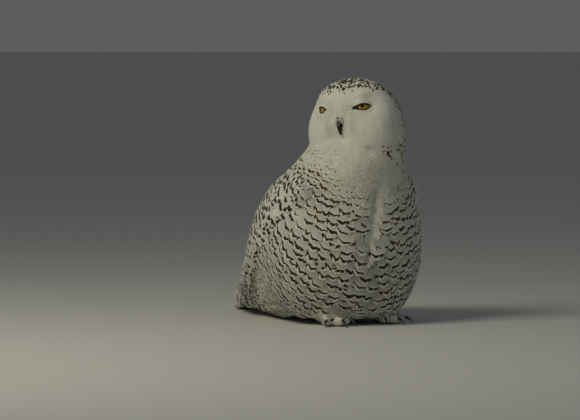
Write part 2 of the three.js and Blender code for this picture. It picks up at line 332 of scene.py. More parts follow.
# Folds and swellings of the coat: place in the head's frame on her left, reach and height, in millimetres.
# Her right side mirrors them, so one in the middle counts twice.
HEAD_SWELLINGS = [
    ((38, -34, 46), 10, 3.0),  # brow over the eye
    ((64, -24, -8), 8, 2.5),  # edge of the face disc on the cheek
    ((60, -26, -28), 8, 2.5),
    ((74, -8, -10), 8, -3.5),  # crease behind it
    ((72, -10, -28), 8, -3.5),
    ((20, -44, -30), 10, 2.5),  # ruff under the face
    ((45, -36, -32), 10, 2.5),
    ((20, -42, -45), 8, -4.0),  # crease under the ruff
    ((45, -34, -47), 8, -4.0),
    ((64, -22, 8), 18, 1.5),  # outer rim of the face disc
    ((40, -36, 14), 9, -1.0),  # hollow under the eye
    ((15, -47, 24), 8, -1.5),  # hollow between the eye and the bill
    ((18, -46, 2), 9, 1.5),  # bristly cheek beside the bill
    ((0, -48, -22), 9, -2.0),  # hollow under the bill
    ((54, 0, 61), 6, 3.5),  # the small tuft at each side of the crown
]
PARTING_TOP, PARTING_BOTTOM = 240 * MM, 108 * MM  # the plain white parting down the middle of the breast
PARTING_HALF_WIDTH = 13 * MM
PARTING_DEPTH = 6 * MM
BREAST_FRONT_Y = -140 * MM  # it lies before this
LEAST_OVER_EYEBALL = 1.2 * MM  # how far the form keeps off the eyeballs
SOCKET_OVER_EYEBALL = 1.0 * MM  # and how far off them it lies under the lids
SOCKET_EDGE = (1.5 * MM, 5 * MM)  # how far outside the black rim the form rises from the ball to the face
FOLD_VOXEL = 16 * MM  # coarse enough to close the folds between the wings and the body
FOLD_BACK_Y, FOLD_LOW, FOLD_HIGH = 130 * MM, 6 * MM, 262 * MM  # where the coat bridges them


def parting_share(places):
    """1 along the parting, falling to 0 at its sides and ends."""
    x, y, z = places.T
    along = (z - PARTING_BOTTOM) / (PARTING_TOP - PARTING_BOTTOM)
    centre = (-20 + 27 * np.clip(along, 0, 1) ** 1.3) * MM
    wide = PARTING_HALF_WIDTH * (0.55 + 0.45 * np.sin(np.pi * np.clip(along, 0, 1)))
    beside = (x - centre) / (wide * np.where(x < centre, 0.75, 1.15))  # steeper on her right
    ends = step(-0.12, 0.15, along) * (1 - step(0.85, 1.0, along))
    return np.exp(-beside ** 2) * ends * (y < BREAST_FRONT_Y)


def sculpted(at, normal):
    """The form's vertices moved out and in for folds that the solids leave out."""
    lift = -PARTING_DEPTH * parting_share(at)
    head = in_head(at)
    for side in SIDES.values():
        for place, reach, height in HEAD_SWELLINGS:
            lift = lift + height * MM * hump(head, np.array(place) * (side, 1, 1) * MM, reach * MM)
    at = at + normal * lift[:, None]
    for eye in EYES:
        away = at - eye.centre
        far = np.linalg.norm(away, axis=1)
        ahead = away @ eye.gaze > 0
        push = np.where(ahead, np.maximum(EYE_RADIUS + LEAST_OVER_EYEBALL - far, 0), 0)
        at = at + unit(away) * push[:, None]
        h, v, _ = eye.flat(at)
        sunk = (1 - step(*SOCKET_EDGE, eye.outside(at)))[:, None]
        at = at * (1 - sunk) + eye.place(h, v, EYE_RADIUS + SOCKET_OVER_EYEBALL) * sunk
    return at


def filled(at):
    """The vertices moved out where the coat bridges the folds between the wings and the body."""
    hull = from_bmesh("hull", copied(*FLESH))
    remeshed(hull, FOLD_VOXEL, 12)
    hull_form = Surface(hull.data)
    bpy.data.objects.remove(hull)
    on, face = hull_form.nearest(at)
    out = ((on - at) * face).sum(1)
    where = (at[:, 1] < FOLD_BACK_Y) & (at[:, 2] > FOLD_LOW) & (at[:, 2] < FOLD_HIGH) & (out > 0)
    return np.where(where[:, None], on, at)


form_piece = from_bmesh("form", copied(*FLESH, "eye_left", "eye_right"))
remeshed(form_piece, FORM_VOXEL, 6)
form = Surface(form_piece.data)
form_piece.data.vertices.foreach_set("co", filled(form.at).ravel())
form_piece.data.update()
form = Surface(form_piece.data)
form_piece.data.vertices.foreach_set("co", sculpted(form.at, form.normal).ravel())
form = Surface(form_piece.data)


# ---- The folded wings and the tail ----
class Limb:
    """A solid that runs backwards: its surface, and its middle and half sizes at slices along it."""

    SLICES = 12
    EDGE = (2 * MM, 8 * MM)  # its share falls to 0 between these distances from it
    AIM_OUT = 35 * MM  # a route is aimed this far outside, so that it lands on the side it is meant for
    LAST_SLICE = 4 * MM  # the tip is measured this far from its end
    FREE_TIP = 6 * MM  # over this much at the end a feather runs on past the solid

    def __init__(self, *nodes):
        solid = from_bmesh("solid", copied(*nodes))
        remeshed(solid, FORM_VOXEL, 2)
        self.form = Surface(solid.data)
        bpy.data.objects.remove(solid)
        at = self.form.at
        self.front, self.back = at[:, 1].min(), at[:, 1].max()
        cuts = np.linspace(self.front, self.back, self.SLICES + 1)
        rows = [at[(at[:, 1] >= a) & (at[:, 1] <= b)] for a, b in zip(cuts[:-1], cuts[1:])]
        self.line = np.array([(row.min(0) + row.max(0)) / 2 for row in rows])
        self.half = np.array([np.ptp(row, axis=0) / 2 for row in rows])

    def share(self, places):
        """1 on the limb, falling to 0 a little way off it."""
        return 1 - step(*self.EDGE, self.form.far(places))

    def route(self, start, end, across, outward, steps=8):
        """A path along the form's surface from one distance back to another, and the normals on it."""
        y = np.linspace(start, end, steps + 1)
        held = np.clip(y, self.front, self.back - self.LAST_SLICE)
        middle, half = (
            np.stack([np.interp(held, self.line[:, 1], along[:, i]) for i in range(3)], 1)
            for along in (self.line, self.half)
        )
        middle[:, 1] = y
        aim = middle + np.array(across) * half + np.array(outward) * self.AIM_OUT
        on, face = form.nearest(aim)
        beyond = y > self.back - self.FREE_TIP
        on[beyond, 1] = y[beyond]
        return on[None], face[None]


WINGS = {name: Limb(f"wing_{name}", f"flight_feathers_{name}") for name in SIDES}
TAIL = Limb("tail")


# ---- The map of the plumage: the lie, size and markings of the feathers at any place ----
# Places are millimetres in the frame, on her left side, and her right side mirrors them.
LIE_REACH = 40 * MM
LIE = [  # place, way that the feathers point
    ((0, -222, 270), (0.1, 0, -1)),
    ((0, -230, 205), (0.15, 0, -1)),
    ((0, -232, 130), (0.15, 0, -1)),
    ((0, -212, 50), (0.12, 0.15, -1)),
    ((0, -150, 10), (0, 1, 0)),
    ((0, -40, 14), (0, 1, 0)),
    ((0, 50, 40), (0, 1, -0.1)),
    ((60, -214, 215), (0.35, 0, -1)),
    ((70, -205, 140), (0.45, 0.1, -1)),
    ((60, -195, 55), (0.4, 0.3, -1)),
    ((98, -176, 245), (0.75, 0.45, -0.85)),
    ((118, -160, 180), (0.45, 0.9, -0.75)),
    ((128, -140, 120), (0.0, 1, -0.45)),
    ((118, -130, 60), (0, 1, -0.6)),
    ((115, -60, 90), (-0.1, 1, -0.4)),
    ((90, 0, 60), (-0.3, 1, -0.4)),
    ((0, -60, 275), (0, 0.5, -1)),
    ((0, -10, 225), (0, 0.75, -1)),
    ((0, 50, 160), (0, 0.75, -1)),
    ((0, 100, 90), (0, 1, -0.5)),
    ((0, 180, 40), (0, 1, -0.2)),
    ((60, -20, 210), (0, 0.8, -0.9)),
    ((85, -90, 265), (0.35, 0.5, -1)),
]
SIZE_REACH = 22 * MM
SIZES = [  # place, spacing of the feathers in millimetres, relative length, bars, spots
    ((0, -222, 282), 9.9, 1.0, 0.0, 0.0),
    ((0, -226, 255), 9.9, 1.0, 0.0, 0.0),
    ((45, -215, 265), 9.9, 1.0, 0.0, 0.0),
    ((94, -170, 268), 9.9, 1.0, 0.8, 0.1),
    ((92, -184, 250), 9.9, 1.0, 1.0, 0.0),
    ((94, -184, 232), 9.9, 1.0, 1.0, 0.0),
    ((66, -206, 250), 9.9, 1.0, 0.0, 0.0),
    ((50, -215, 246), 10.4, 1.0, 0.0, 0.0),
    ((0, -230, 240), 10.4, 1.0, 0.0, 0.0),
    ((98, -178, 212), 12.2, 1.0, 1.0, 0.0),
    ((0, -230, 222), 11.2, 1.0, 0.35, 0.0),
    ((50, -214, 212), 12.2, 1.0, 1.0, 0.0),
    ((0, -232, 160), 13.1, 1.0, 1.0, 0.0),
    ((70, -208, 160), 13.1, 1.0, 1.0, 0.0),
    ((0, -226, 90), 13.1, 1.0, 1.0, 0.0),
    ((75, -190, 90), 13.1, 1.0, 1.0, 0.0),
    ((0, -200, 30), 12.2, 1.0, 0.9, 0.0),
    ((128, -130, 130), 12.2, 1.1, 1.0, 0.0),
    ((120, -110, 60), 13.1, 1.15, 1.0, 0.0),
    ((112, -50, 70), 13.9, 1.3, 1.0, 0.0),
    ((90, 10, 60), 13.9, 1.3, 0.9, 0.0),
    ((0, -120, 12), 10.4, 1.0, 0.1, 0.2),
    ((0, 20, 30), 10.4, 1.2, 0.1, 0.2),
    ((40, -60, 292), 6.0, 1.3, 0.0, 0.35),
    ((85, -100, 280), 7.0, 1.2, 0.1, 0.35),
    ((60, -50, 262), 9.2, 1.0, 0.0, 0.8),
    ((40, 0, 220), 11.0, 1.2, 0.0, 0.85),
    ((40, 60, 150), 11.0, 1.35, 0.1, 0.9),
    ((20, 100, 90), 10.4, 1.4, 0.5, 0.4),
]
DOWNY_GAP = 2.9 * MM  # spacing of the fine plain feathers of the bib and the parting
WING_SIZE = (10.5 * MM, 1.3, 0.0, 0.95)  # spacing, relative length, bars and spots on the wings
TOE_SIZE = (3.0 * MM, 1.5, 0.0, 0.0)  # and on the toes
TUFT = (54, 0, 61)  # the dark tufts at the sides of the crown, in the head's frame
NECK_BLOTCHES = [(76, 0, -38), (66, -20, -46)]  # on the left side of her neck
LID_REACH = 17 * MM  # how far out the feathers still spread from the eye


def blend_of(spots, values, places, reach):
    """The mean of the values at the spots, nearer ones counting for more."""
    places = places * np.where(places[:, :1] < 0, (-1, 1, 1), (1, 1, 1))
    away = places[:, None] - np.array(spots)[None] * MM
    share = np.exp(-(away ** 2).sum(-1) / (2 * reach ** 2)) + 1e-9
    return share @ np.array(values, float) / share.sum(1, keepdims=True)


FACE_MIDDLE = np.array((0, -56, 10)) * MM  # the feathers of the face point away from here
HEAD_FROM, HEAD_TO = 262 * MM, 308 * MM  # heights over which the neck turns into the head
FOOT_TOP = 26 * MM
SOLES = [np.array(middle_of(f"foot_{name}")) for name in SIDES]


def head_share(places):
    return step(HEAD_FROM, HEAD_TO, places[:, 2])


def foot_share(places):
    """1 on the feet and their toes."""
    apart = np.min([np.linalg.norm((places - sole)[:, :2], axis=1) for sole in SOLES], axis=0)
    return (1 - step(0.7 * FOOT_TOP, FOOT_TOP, places[:, 2])) * (1 - step(42 * MM, 50 * MM, apart))


def lie_of(places, normals):
    """Which way the feathers point."""
    way = blend_of([p for p, _ in LIE], [w for _, w in LIE], places, LIE_REACH)
    way[:, 0] *= np.where(places[:, 0] < 0, -1, 1)
    way = unit(way)
    for wing in WINGS.values():
        along = unit(np.gradient(wing.line, axis=0))
        nearest = np.linalg.norm(places[:, None] - wing.line[None], axis=2).argmin(1)
        way = way + 3 * wing.share(places)[:, None] * (along[nearest] + (0, 0, -0.15))
    toes = foot_share(places)[:, None]
    way = unit(way) * (1 - toes) + toes * np.array((0, -1, -0.5))
    local = in_head(places)
    away = unit(local - FACE_MIDDLE)
    for eye in EYES:
        lid = in_head(eye.place(np.zeros(1), np.zeros(1), EYE_RADIUS))[0]
        away += 1.2 * hump(local, lid, LID_REACH)[:, None] * unit(local - lid)
    behind = step(-10 * MM, 50 * MM, local[:, 1])[:, None]
    away = away @ HEAD_TURN.T * (1 - behind) + behind * np.array((0, 0.2, -1))
    share = head_share(places)[:, None]
    return flat_to(normals, unit(way) * (1 - share) + unit(away) * share)


def size_of(places):
    """Spacing and relative length of the feathers, and how strongly they are barred and spotted."""
    values = blend_of([s[0] for s in SIZES], [s[1:] for s in SIZES], places, SIZE_REACH)
    values[:, 0] *= MM
    values[:, 2] *= 1 - step(0.34, 0.42, parting_share(places))
    downy = 1 - step(0.12, 0.18, values[:, 2] + values[:, 3])
    values[:, 0] += (DOWNY_GAP - values[:, 0]) * downy
    values[:, 1] += 1.1 * downy
    values[:, 2] = step(0.05, 0.45, values[:, 2])
    x, y, z = in_head(places).T / MM
    crown = step(38, 56, z + 0.2 * y)
    nape = step(-4, 26, y) * (1 - crown)
    head = np.zeros((len(places), 4))
    head[:, 0] = (1.9 + 0.4 * step(-40, 5, y) + 0.5 * crown + 1.2 * nape) * MM
    head[:, 1] = 2.4 - 0.6 * crown - 0.5 * nape
    tuft = hump(np.stack([np.abs(x), y, z], 1), TUFT, 6.0)
    blotch = sum(hump(np.stack([x, y, z], 1), place, 8.0) for place in NECK_BLOTCHES)
    head[:, 3] = np.clip(0.66 * crown + 0.42 * nape + 1.6 * tuft + blotch, 0, 1)
    share = head_share(places)[:, None]
    values = values * (1 - share) + head * share
    for wing in WINGS.values():
        wing_share = wing.share(places)[:, None]
        values = values * (1 - wing_share) + np.array(WING_SIZE) * wing_share
    toes = foot_share(places)[:, None]
    return values * (1 - toes) + np.array(TOE_SIZE) * toes


# ---- Feather shapes ----
class Shape:
    """A feather's corners as (across, along, height), and its faces with a mark on the dark ones."""

    def __init__(self, bm, marked):
        bm.normal_update()
        bmesh.ops.reverse_faces(bm, faces=[face for face in bm.faces if face.normal.z < 0])
        bm.verts.index_update()
        self.at = np.array([v.co for v in bm.verts])
        self.faces = {}
        for size in (3, 4):
            faces = [face for face in bm.faces if len(face.verts) == size]
            corners = np.array([[v.index for v in face.verts] for face in faces], int).reshape(-1, size)
            marks = np.array([float(marked(*face.calc_center_median()[:2])) for face in faces])
            self.faces[size] = (corners, marks)
        bm.free()


BARBS_FROM = 0.6  # how far along a feather its edge begins to break up into barbs


def vane(rows, columns, marked, seed, fringe=0.09, barbs=1, root_width=0.7, tip_width=0.8, camber=0.05,
         jitter=0):
    """A feather's vane, a grid whose free edge is all barbs.

    Each row gives how far along the feather it lies at a place across. All sizes are shares of the feather's
    length or half width, and marked tells whether a face with its middle at such a place is dark.
    """
    dice = np.random.default_rng(seed)
    bm = bmesh.new()
    across, along = len(columns) - 1, len(rows) - 1
    bmesh.ops.create_grid(bm, x_segments=across, y_segments=along, size=0.5)
    for v in bm.verts:
        s = columns[round((v.co.x + 0.5) * across)]
        row = rows[round((v.co.y + 0.5) * along)]
        half = root_width + (1 - root_width) * step(0.1, 0.55, row(0))
        half = half - (1 - tip_width) * step(0.75, 1, row(0))
        stray = dice.normal(0, jitter, 2) * (not v.is_boundary)
        v.co = (s * half + stray[0], row(s) + 0.4 * stray[1], -camber * s * s)
    free = [[v.co.copy() for v in edge.verts] for edge in bm.edges if edge.is_boundary]
    for a, b in free:
        middle = (a + b) / 2
        if middle.y < BARBS_FROM:
            continue
        for n in range(barbs):
            start, end = a.lerp(b, n / barbs), a.lerp(b, (n + 1) / barbs)
            long = fringe * dice.uniform(0.5, 1.4)
            lean = 1.6 * middle.x * long + 0.8 * dice.normal(0, long)
            tip = (start + end) / 2 + Vector((lean, long * (1 - 0.35 * abs(middle.x)), -0.02))
            bm.faces.new([bm.verts.new(place) for place in (start, end, tip)])
    bmesh.ops.remove_doubles(bm, verts=bm.verts, dist=1e-5)
    return Shape(bm, marked)


ARC_BEND, BAR_BEND = 1.7, 1.3  # the powers by which a row and a bar lag at their sides


def arc(level, lag):
    """A line across the vane that lags at its sides."""
    return lambda s: level - lag * abs(s) ** ARC_BEND


def bar_shape(level, thick, lag, seed, reach=0.7, lean=0.0):
    """A feather with one bar near its tip, thick in the middle and drawn out to points that sweep back."""
    dice = np.random.default_rng(100 + seed)
    columns = sorted({-1, 1, 0, *(side * share * reach for side in (-1, 1) for share in (0.34, 0.68, 1))})
    waver = {s: dice.normal(0, 0.10, 2) * thick for s in columns}

    def line(s):
        return level - lag * abs(s) ** BAR_BEND + lean * s

    def edge(side):
        def at(s):
            taper = 1 - min(abs(s) / reach, 1) ** 2.2
            half = thick * (0.12 + 0.88 * taper) / 2 + waver[s][int(side > 0)] * taper
            return line(s) + side * half
        return at

    def marked(s, t):
        return abs(s) < reach and abs(line(s) - t) < 0.5 * thick
    rows = [arc(0.12, 0), arc(0.5, 0.5 * lag), edge(-1), edge(1), arc(1, 0.26)]
    return vane(rows, columns, marked, seed)


def spot_shape(spots, seed):
    """A feather with a few dark spots, each given by its middle across and along and its half sizes."""
    columns = sorted({-1, 1} | {s + side * half for s, _, half, _ in spots for side in (-1, 0, 1)})
    levels = sorted({t + side * half for _, t, _, half in spots for side in (-1, 1)})
    rows = [arc(0.12, 0), *(arc(level, 0.08) for level in levels), arc(1, 0.3)]

    def marked(s, t):
        t = t + 0.08 * abs(s) ** ARC_BEND
        return any(abs(s - x) < 0.9 * wide and abs(t - y) < 0.9 * long for x, y, wide, long in spots)
    return vane(rows, columns, marked, seed, jitter=0.06)


def plain_shape(seed):
    """A feather with no mark."""
    rows = [arc(0.12, 0), arc(0.5, 0.1), arc(0.76, 0.22), arc(1, 0.32)]
    return vane(rows, (-1, -0.6, -0.2, 0.2, 0.6, 1), lambda s, t: False, seed, fringe=0.08, barbs=2)


def lock_shape(seed, dark=False):
    """A little feather of the head or the foot, a narrow lock that ends in points, dark-tipped or not."""
    rows = [arc(0.1, 0), arc(0.45, 0.05), arc(0.78, 0.1)]
    return vane(rows, (-1, 0, 1), lambda s, t: dark and t > 0.45, seed,
                fringe=0.30, barbs=2, root_width=0.8, tip_width=0.7, camber=0.1)


def long_shape(bars, seed, thick=0.035, lag=0.03, first=0.32, shaft=0.15):
    """A long feather of wing, tail or flank, with dark bars across it that may stop short of the shaft."""
    levels = np.linspace(first, 0.93, bars)
    rows = [arc(0.05, 0)]
    for level in levels:
        rows += [arc(level - thick / 2, lag), arc(level + thick / 2, lag)]
    rows += [arc(0.97, 0.05), arc(1, 0.12)]

    def marked(s, t):
        near = [abs(t + lag * abs(s) ** ARC_BEND - level) < thick / 2 for level in levels]
        return any(near) and shaft < abs(s) < 0.95
    columns = (-1, -0.6, -0.12, 0.12, 0.6, 1)
    return vane(rows, columns, marked, seed, fringe=0.015, root_width=0.6, tip_width=0.7, camber=0.16)


SHAPES = {
    "barred": [
        bar_shape(0.85, 0.18, 0.22, 1, reach=0.86, lean=0.02),
        bar_shape(0.83, 0.17, 0.30, 2, reach=0.84, lean=-0.04),
        bar_shape(0.86, 0.15, 0.18, 3, reach=0.92, lean=0.05),
        bar_shape(0.84, 0.20, 0.26, 4, reach=0.82, lean=0.04),
        bar_shape(0.84, 0.16, 0.32, 5, reach=0.88, lean=-0.02),
        bar_shape(0.85, 0.14, 0.24, 6, reach=0.84, lean=-0.06),
    ],
    "faint": [
        bar_shape(0.86, 0.08, 0.24, 7, reach=0.75),
        bar_shape(0.85, 0.09, 0.30, 8, reach=0.65, lean=0.05),
    ],
    "spotted": [
        bar_shape(0.83, 0.25, 0.20, 11, reach=0.66),
        bar_shape(0.82, 0.21, 0.15, 12, reach=0.76, lean=0.07),
        bar_shape(0.84, 0.28, 0.34, 13, reach=0.56, lean=-0.04),
        bar_shape(0.82, 0.20, 0.08, 14, reach=0.84, lean=-0.03),
        spot_shape([(-0.42, 0.82, 0.36, 0.09), (0.46, 0.87, 0.32, 0.08)], 15),
        bar_shape(0.81, 0.25, 0.25, 16, reach=0.62, lean=0.12),
    ],
    "plain": [plain_shape(21), plain_shape(22), plain_shape(23)],
    "small": [lock_shape(31), lock_shape(32), lock_shape(33)],
    "small_dark": [lock_shape(34, True), lock_shape(35, True)],
    "long": [long_shape(5, 41), long_shape(6, 42), long_shape(5, 43, thick=0.045)],
    "tail": [long_shape(4, 44, thick=0.04), long_shape(5, 45)],
    "flank": [
        long_shape(4, 51, thick=0.055, lag=0.12, first=0.48, shaft=0),
        long_shape(3, 52, thick=0.060, lag=0.15, first=0.60, shaft=0),
        long_shape(4, 53, thick=0.050, lag=0.10, first=0.54, shaft=0),
    ],
}


# ---- Laying feathers ----
def thinned(places, gaps):
    """Which places to keep so that they stand at least a gap apart."""
    cell = float(gaps.max())
    keys = np.floor(places / cell).astype(int).tolist()
    spots, spans = places.tolist(), gaps.tolist()
    near = [(i, j, k) for i in (-1, 0, 1) for j in (-1, 0, 1) for k in (-1, 0, 1)]
    held = {}
    kept = []
    for n, (a, b, c) in enumerate(keys):
        px, py, pz = spots[n]
        gap = spans[n]
        free = True
        for i, j, k in near:
            for m in held.get((a + i, b + j, c + k), ()):
                qx, qy, qz = spots[m]
                dx, dy, dz = qx - px, qy - py, qz - pz
                room = min(gap, spans[m])
                if dx * dx + dy * dy + dz * dz < room * room:
                    free = False
                    break
            if not free:
                break
        if free:
            held.setdefault((a, b, c), []).append(n)
            kept.append(n)
    return np.array(kept)


def eased(places, gaps, rounds):
    """The places moved apart until they stand evenly."""
    for _ in range(rounds):
        away = places[:, None] - places[None]
        apart = np.sqrt((away ** 2).sum(2))
        reach = 0.65 * (gaps[:, None] + gaps[None])
        push = np.clip(1 - apart / reach, 0, None)
        np.fill_diagonal(push, 0)
        shift = (away * (push / np.maximum(apart, 1e-9))[..., None]).sum(1)
        places = form.nearest(places + 0.30 * gaps[:, None] * shift)[0]
    return places


def routes(surface, places, normals, ways, lengths, steps):
    """Points and normals along each feather, which follows the surface from its root to its tip."""
    points, ups = [places], [normals]
    heading = ways
    for _ in range(steps):
        ahead, up = surface.nearest(points[-1] + heading * (lengths / steps)[:, None])
        heading = flat_to(up, heading)
        points.append(ahead)
        ups.append(up)
    return np.stack(points, 1), np.stack(ups, 1)


LOWEST = 0.4 * MM  # no feather hangs below this, so that she rests on her soles
TUFT_PATCH = 0.003  # the size of a feather's own patch in the map OFBake


class Coat:
    """A piece made of many feathers: gathers their corners and faces, and makes one mesh of them."""

    def __init__(self, name):
        self.name = name
        self.gathered = {}
        self.faces = {3: [], 4: []}
        self.count = 0

    def lay(self, shape, points, ups, widths, roots_down, tips_up, tones, grey_base_and_shade=0.0, round_off=0.10):
        """Adds one feather of this shape along each route, given as points and the surface's normals there.

        Widths are half widths. The roots lie down in the coat and the tips stand up from the route by these
        distances. Tones run from white to cream, or dark brown to brown, and the last share greys the
        feather's base, partly for the grey down there and partly as painted shade where the next feather
        overlaps it.
        """
        steps = points.shape[1] - 1
        s, t, h = shape.at.T  # across, along and height
        place = np.clip(t, 0, 1) * steps
        k = np.minimum(place.astype(int), steps - 1)
        f = (place - k + np.maximum(t - 1, 0) * steps)[None, :, None]
        spine = points[:, k] * (1 - f) + points[:, k + 1] * f
        up = unit(ups[:, k] * (1 - f) + ups[:, k + 1] * f)
        ahead = unit(points[:, k + 1] - points[:, k])
        side = unit(np.cross(ahead, up))
        lift = tips_up[:, None] * t ** 2 - roots_down[:, None] * np.clip(1 - t, 0, 1) ** 2.6
        at = spine + side * (s * widths[:, None])[..., None] + up * (h * widths[:, None] + lift)[..., None]
        at[..., 2] = np.maximum(at[..., 2], LOWEST)
        count, corners = at.shape[:2]
        long = np.linalg.norm(points[:, 1:] - points[:, :-1], axis=2).sum(1)
        laid = {
            "at": at.reshape(-1, 3),
            "normal": unit(up + side * (round_off * s[:, None])).reshape(-1, 3),
            "root": np.repeat(points[:, 0], corners, axis=0),
            "share": np.tile(shape.at[:, :2], (count, 1)),
            "vane": np.stack([s * widths[:, None], t * long[:, None]], -1).reshape(-1, 2),
            "grey_base_and_shade": np.repeat(grey_base_and_shade * np.ones(count), corners),
        }
        for key, values in laid.items():
            self.gathered.setdefault(key, []).append(values)
        starts = self.count + np.arange(count)[:, None, None] * corners
        for size, (faces, marks) in shape.faces.items():
            self.faces[size].append((
                (faces + starts).reshape(-1, size),
                np.tile(marks, count),
                np.repeat(tones, len(faces)),
            ))
        self.count += count * corners

    def piece(self):
        """The coat's object. Its colour layer plume holds mark, tone, place along the feather, and the share
        of grey down and painted shade at the feather's base.
        """
        g = {key: np.concatenate(value) for key, value in self.gathered.items()}
        corners, sizes, marks, tones = [], [], [], []
        for size, made in self.faces.items():
            for faces, mark, tone in made:
                corners.append(faces.ravel())
                sizes.append(np.full(len(faces), size))
                marks.append(mark)
                tones.append(tone)
        corners, sizes = np.concatenate(corners), np.concatenate(sizes)
        marks, tones = np.concatenate(marks), np.concatenate(tones)
        starts = np.cumsum(sizes) - sizes
        self.dark_places = g["at"][corners[starts[marks > 0]]]
        mesh = bpy.data.meshes.new(self.name)
        mesh.vertices.add(len(g["at"]))
        mesh.vertices.foreach_set("co", g["at"].ravel())
        mesh.loops.add(len(corners))
        mesh.loops.foreach_set("vertex_index", corners)
        mesh.polygons.add(len(sizes))
        mesh.polygons.foreach_set("loop_start", starts)
        mesh.update(calc_edges=True)
        mesh.polygons.foreach_set("use_smooth", np.ones(len(sizes), bool))
        along = np.clip(g["share"][corners, 1], 0, 1)
        colour = np.stack([np.repeat(marks, sizes), np.repeat(tones, sizes), along, g["grey_base_and_shade"][corners]], 1)
        mesh.color_attributes.new("plume", "FLOAT_COLOR", "CORNER").data.foreach_set("color", colour.ravel())
        patch = np.clip((g["share"][corners] + (1, 0)) / (2, 1), 0, 1)
        bake = self.unrolled(g["root"])[corners] + TUFT_PATCH * patch
        bake[:, 0] += 0.5 * np.repeat(marks > 0, sizes)  # dark faces take the map's right half
        for name, places in (("OFBake", bake), ("Vane", g["vane"][corners])):
            mesh.uv_layers.new(name=name).data.foreach_set("uv", places.astype(np.float32).ravel())
        mesh.normals_split_custom_set_from_vertices(g["normal"].tolist())
        return object_of(self.name, mesh)

    @staticmethod
    def unrolled(roots):
        """Where each root lies on the skin unrolled about the piece's own middle, in the map's left half."""
        low, high = roots.min(0), roots.max(0)
        away = roots - (low + high) / 2 - (0, 0.15 * (high - low)[1], 0)  # from a little behind its middle
        around = np.arctan2(away[:, 0], -away[:, 1])
        rise = np.arctan2(away[:, 2], np.hypot(away[:, 0], away[:, 1]))
        flat = np.stack([around, rise], 1)
        flat = (flat - flat.min(0)) / np.maximum(np.ptp(flat, axis=0), 1e-9)
        return 0.005 + flat * (0.485, 0.985)


# ---- Materials ----
def material_of(name, settings):
    """A material, its nodes and its shader, which gets these values on its own sockets."""
    material = bpy.data.materials.new(name)
    material.use_nodes = True
    shader = material.node_tree.nodes["Principled BSDF"]
    for socket, value in settings.items():
        shader.inputs[socket].default_value = value
    return material, material.node_tree, shader


def simple(name, colour, roughness):
    """A material of one colour."""
    return material_of(name, {"Base Color": linear(colour), "Roughness": roughness})[0]


def node(tree, kind, settings=None, inputs=None):
    """Adds a node. Inputs are values, or sockets of other nodes to link from."""
    made = tree.nodes.new(kind)
    for key, value in (settings or {}).items():
        setattr(made, key, value)
    for key, value in (inputs or {}).items():
        if isinstance(value, bpy.types.NodeSocket):
            tree.links.new(value, made.inputs[key])
        else:
            made.inputs[key].default_value = value
    return made


# the grey that feathers' bases are mixed towards stands for their grey down and, as painted shade, for the
# shade where the next feather overlaps them
WHITE, CREAM, DOWN_GREY_AND_SHADE = linear("#E4E5D8"), linear("#D6D4C2"), linear("#85857A")
DARK_BROWN, BROWN = linear("#1A120C"), linear("#5C3E28")
BARB_STREAK = 1.6 * MM  # width of the clumps that barbs cling together in
COLOUR_MIX = {"data_type": "RGBA"}


def feather_material(name, streaked=True):
    """Contour feathers: keratin barbs with no gloss, which scatter light and so look chalky and soft.

    The marks are the dark brown of the feather's own pigment. A feather's base is greyed, more towards the
    root, partly for the grey down there and partly as painted shade where the next feather overlaps it. The
    barbs' streaks are drawn as coarse as they need to show.
    """
    material, tree, shader = material_of(name, {
        "Roughness": 0.85, "Specular IOR Level": 0.15, "Sheen Weight": 0.2, "Sheen Roughness": 0.6})
    plume = node(tree, "ShaderNodeAttribute", {"attribute_name": "plume"})
    parts = node(tree, "ShaderNodeSeparateColor", inputs={"Color": plume.outputs["Color"]})
    # painted shade in part: the base is greyed more towards the root, for the grey down and for the shade
    # under the next feather
    shaded = node(tree, "ShaderNodeMapRange", {"interpolation_type": "SMOOTHSTEP"}, {
        "Value": parts.outputs["Blue"], "From Min": 0.45, "From Max": 0.85, "To Min": 0.9, "To Max": 0.1})
    grey_and_shade_share = node(tree, "ShaderNodeMath", {"operation": "MULTIPLY"}, {
        0: shaded.outputs["Result"], 1: plume.outputs["Alpha"]})
    # a mix of colours takes its factor in socket 0 and the colours in 6 and 7, and gives the result in 2
    tone = parts.outputs["Green"]
    white = node(tree, "ShaderNodeMix", COLOUR_MIX, {0: tone, 6: WHITE, 7: CREAM})
    white = node(tree, "ShaderNodeMix", COLOUR_MIX, {
        0: grey_and_shade_share.outputs["Value"], 6: white.outputs[2], 7: DOWN_GREY_AND_SHADE})
    dark = node(tree, "ShaderNodeMix", COLOUR_MIX, {0: tone, 6: DARK_BROWN, 7: BROWN})
    colour = node(tree, "ShaderNodeMix", COLOUR_MIX, {
        0: parts.outputs["Red"], 6: white.outputs[2], 7: dark.outputs[2]})
    tree.links.new(colour.outputs[2], shader.inputs["Base Color"])
    if streaked:
        vane_map = node(tree, "ShaderNodeUVMap", {"uv_map": "Vane"})
        scaled = node(tree, "ShaderNodeMapping", inputs={
            "Vector": vane_map.outputs["UV"], "Scale": (1 / BARB_STREAK, 0.12 / BARB_STREAK, 1)})
        streak = node(tree, "ShaderNodeTexNoise", inputs={
            "Vector": scaled.outputs["Vector"], "Scale": 1.0, "Detail": 2.0})
        bump = node(tree, "ShaderNodeBump", inputs={
            "Height": streak.outputs["Fac"], "Strength": 0.6, "Distance": 1.0 * MM})
        tree.links.new(bump.outputs["Normal"], shader.inputs["Normal"])
    return material


# The iris by its angle from the gaze, in radians: black pupil, amber ring with darker edges, black rim.
EYE_RINGS = [(0.0, "#050403"), (0.155, "#050403"), (0.17, "#7A5A0C"), (0.30, "#C39A1E"),
             (0.60, "#B88A14"), (0.80, "#7E5C0C"), (0.88, "#0B0806"), (1.0, "#0B0806")]


